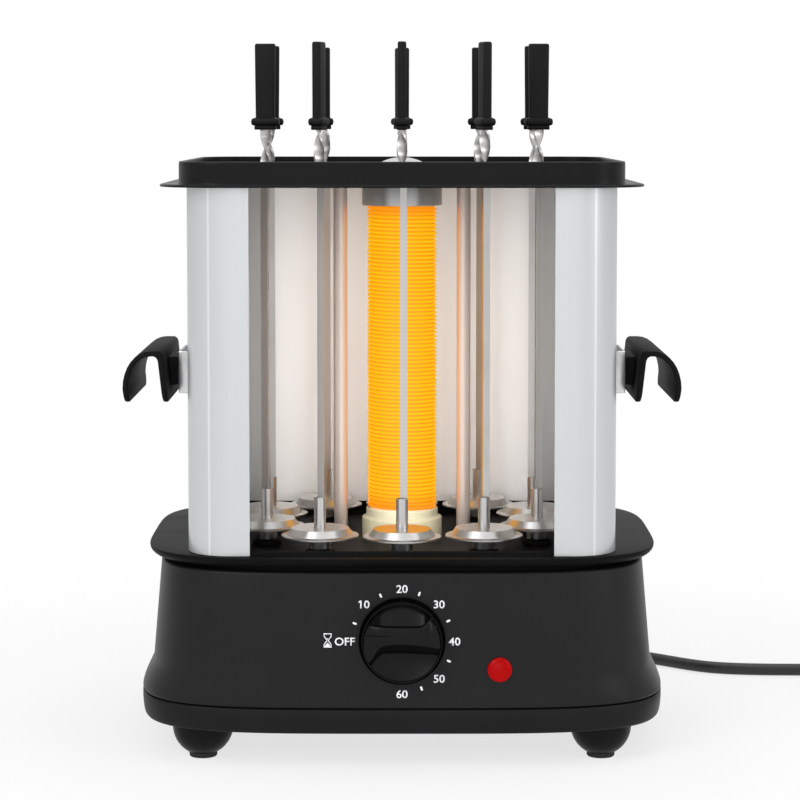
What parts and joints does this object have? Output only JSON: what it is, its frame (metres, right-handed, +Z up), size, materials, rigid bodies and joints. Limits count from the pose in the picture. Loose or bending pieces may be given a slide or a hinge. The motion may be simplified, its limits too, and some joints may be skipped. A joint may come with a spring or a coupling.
{
  "type": "electric skewer grill",
  "caption": "Electric skewer grill: geared upright skewers turn round a glowing heater inside a polished lift-off shield, on a black base with a timer knob.",
  "frame": {"origin": "on the table, under the middle of the body", "axes": "+Z up, -Y towards the user and the timer knob, +X to the user's right"},
  "size_m": [0.5167, 0.3088, 0.394],
  "materials": {
    "housing_black": "satin",
    "pan_black": "matte",
    "foot_black": "satin",
    "pad_rubber": "matte",
    "tray_enamel": "gloss",
    "plate_steel": "brushed",
    "screw_steel": "plain",
    "motor_steel": "satin",
    "pinion_brass": "plain",
    "ceramic": "matte",
    "winding": "glowing",
    "holder_steel": "satin",
    "post_steel": "polished",
    "cover_black": "satin",
    "dome_steel": "polished",
    "shield_sheet": "polished",
    "rear_sheet": "satin",
    "handle_black": "satin",
    "clip_steel": "polished",
    "knob_black": "satin",
    "timer_case": "plain",
    "lens_red": "glowing",
    "gland_rubber": "matte",
    "cord_black": "satin",
    "plug_black": "satin",
    "spindle_steel": "polished",
    "skewer_steel": "polished",
    "grip_black": "satin"
  },
  "bodies": {
    "base": {"base_housing": "housing_black", "bottom_pan": "pan_black", "feet": "foot_black", "foot_pads": "pad_rubber", "drip_tray": "tray_enamel", "gear_plate": "plate_steel", "case_screws": "screw_steel", "gear_motor": "motor_steel", "heater_core": "ceramic", "heater_coil": "winding", "heater_foot": "ceramic", "heater_top_holder": "holder_steel", "support_posts": "post_steel", "timer_unit": "timer_case", "pilot_lens": "lens_red", "cord_gland": "gland_rubber", "cord_run": "cord_black", "cord_coil": "cord_black", "plug": "plug_black"},
    "shield": {"reflector_left": "shield_sheet", "reflector_right": "shield_sheet", "rear_reflector": "rear_sheet", "handle_left": "handle_black", "handle_right": "handle_black", "shield_fittings": "clip_steel"},
    "cover": {"top_cover": "cover_black", "cover_rim": "cover_black", "cover_dome": "dome_steel"},
    "knob": {"timer_knob": "knob_black"},
    "pinion": {"motor_pinion": "pinion_brass"},
    "spindle_01": {"rotor_01": "spindle_steel"},
    "skewer_01": {"skewer_blade_01": "skewer_steel", "skewer_grip_01": "grip_black"},
    "spindle_02": {"rotor_02": "spindle_steel"},
    "skewer_02": {"skewer_blade_02": "skewer_steel", "skewer_grip_02": "grip_black"},
    "spindle_03": {"rotor_03": "spindle_steel"},
    "skewer_03": {"skewer_blade_03": "skewer_steel", "skewer_grip_03": "grip_black"},
    "spindle_04": {"rotor_04": "spindle_steel"},
    "skewer_04": {"skewer_blade_04": "skewer_steel", "skewer_grip_04": "grip_black"},
    "spindle_05": {"rotor_05": "spindle_steel"},
    "skewer_05": {"skewer_blade_05": "skewer_steel", "skewer_grip_05": "grip_black"},
    "spindle_06": {"rotor_06": "spindle_steel"},
    "skewer_06": {"skewer_blade_06": "skewer_steel", "skewer_grip_06": "grip_black"},
    "spindle_07": {"rotor_07": "spindle_steel"},
    "skewer_07": {"skewer_blade_07": "skewer_steel", "skewer_grip_07": "grip_black"},
    "spindle_08": {"rotor_08": "spindle_steel"},
    "skewer_08": {"skewer_blade_08": "skewer_steel", "skewer_grip_08": "grip_black"},
    "spindle_09": {"rotor_09": "spindle_steel"},
    "skewer_09": {"skewer_blade_09": "skewer_steel", "skewer_grip_09": "grip_black"},
    "spindle_10": {"rotor_10": "spindle_steel"},
    "skewer_10": {"skewer_blade_10": "skewer_steel", "skewer_grip_10": "grip_black"}
  },
  "joints": [
    {"name": "spindle_01_spin", "type": "hinge", "parent": "base", "child": "spindle_01", "pos_m": [0, -0.06198, 0.1], "axis": [0, 0, 1], "continuous": true},
    {"name": "spindle_02_spin", "type": "hinge", "parent": "base", "child": "spindle_02", "pos_m": [0.04569, -0.0567, 0.1], "axis": [0, 0, 1], "continuous": true},
    {"name": "spindle_03_spin", "type": "hinge", "parent": "base", "child": "spindle_03", "pos_m": [0.07701, -0.023, 0.1], "axis": [0, 0, 1], "continuous": true},
    {"name": "spindle_04_spin", "type": "hinge", "parent": "base", "child": "spindle_04", "pos_m": [0.07701, 0.023, 0.1], "axis": [0, 0, 1], "continuous": true},
    {"name": "spindle_05_spin", "type": "hinge", "parent": "base", "child": "spindle_05", "pos_m": [0.04569, 0.0567, 0.1], "axis": [0, 0, 1], "continuous": true},
    {"name": "spindle_06_spin", "type": "hinge", "parent": "base", "child": "spindle_06", "pos_m": [0, 0.06198, 0.1], "axis": [0, 0, 1], "continuous": true},
    {"name": "spindle_07_spin", "type": "hinge", "parent": "base", "child": "spindle_07", "pos_m": [-0.04569, 0.0567, 0.1], "axis": [0, 0, 1], "continuous": true},
    {"name": "spindle_08_spin", "type": "hinge", "parent": "base", "child": "spindle_08", "pos_m": [-0.07701, 0.023, 0.1], "axis": [0, 0, 1], "continuous": true},
    {"name": "spindle_09_spin", "type": "hinge", "parent": "base", "child": "spindle_09", "pos_m": [-0.07701, -0.023, 0.1], "axis": [0, 0, 1], "continuous": true},
    {"name": "spindle_10_spin", "type": "hinge", "parent": "base", "child": "spindle_10", "pos_m": [-0.04569, -0.0567, 0.1], "axis": [0, 0, 1], "continuous": true},
    {"name": "pinion_spin", "type": "hinge", "parent": "base", "child": "pinion", "pos_m": [0, -0.02698, 0.1], "axis": [0, 0, 1], "continuous": true},
    {"name": "skewer_01_lift", "type": "slide", "parent": "spindle_01", "child": "skewer_01", "axis": [0, 0, 1], "range_m": [0, 0.22]},
    {"name": "skewer_02_lift", "type": "slide", "parent": "spindle_02", "child": "skewer_02", "axis": [0, 0, 1], "range_m": [0, 0.22]},
    {"name": "skewer_03_lift", "type": "slide", "parent": "spindle_03", "child": "skewer_03", "axis": [0, 0, 1], "range_m": [0, 0.22]},
    {"name": "skewer_04_lift", "type": "slide", "parent": "spindle_04", "child": "skewer_04", "axis": [0, 0, 1], "range_m": [0, 0.22]},
    {"name": "skewer_05_lift", "type": "slide", "parent": "spindle_05", "child": "skewer_05", "axis": [0, 0, 1], "range_m": [0, 0.22]},
    {"name": "skewer_06_lift", "type": "slide", "parent": "spindle_06", "child": "skewer_06", "axis": [0, 0, 1], "range_m": [0, 0.22]},
    {"name": "skewer_07_lift", "type": "slide", "parent": "spindle_07", "child": "skewer_07", "axis": [0, 0, 1], "range_m": [0, 0.22]},
    {"name": "skewer_08_lift", "type": "slide", "parent": "spindle_08", "child": "skewer_08", "axis": [0, 0, 1], "range_m": [0, 0.22]},
    {"name": "skewer_09_lift", "type": "slide", "parent": "spindle_09", "child": "skewer_09", "axis": [0, 0, 1], "range_m": [0, 0.22]},
    {"name": "skewer_10_lift", "type": "slide", "parent": "spindle_10", "child": "skewer_10", "axis": [0, 0, 1], "range_m": [0, 0.22]},
    {"name": "shield_lift", "type": "slide", "parent": "base", "child": "shield", "axis": [0, 0, 1], "range_m": [0, 0.285]},
    {"name": "cover_lift", "type": "slide", "parent": "shield", "child": "cover", "axis": [0, 0, 1], "range_m": [0, 0.082]},
    {"name": "knob_turn", "type": "hinge", "parent": "base", "child": "knob", "pos_m": [0, -0.1014, 0.0705], "axis": [0, 0.9976, -0.0698], "range_deg": [0, 270]}
  ],
  "couplings": [
    {"joint": "spindle_02_spin", "follows": "spindle_01_spin", "ratio": -1},
    {"joint": "spindle_03_spin", "follows": "spindle_01_spin", "ratio": 1},
    {"joint": "spindle_04_spin", "follows": "spindle_01_spin", "ratio": -1},
    {"joint": "spindle_05_spin", "follows": "spindle_01_spin", "ratio": 1},
    {"joint": "spindle_06_spin", "follows": "spindle_01_spin", "ratio": -1},
    {"joint": "spindle_07_spin", "follows": "spindle_01_spin", "ratio": 1},
    {"joint": "spindle_08_spin", "follows": "spindle_01_spin", "ratio": -1},
    {"joint": "spindle_09_spin", "follows": "spindle_01_spin", "ratio": 1},
    {"joint": "spindle_10_spin", "follows": "spindle_01_spin", "ratio": -1},
    {"joint": "pinion_spin", "follows": "spindle_01_spin", "ratio": -1.9167}
  ]
}
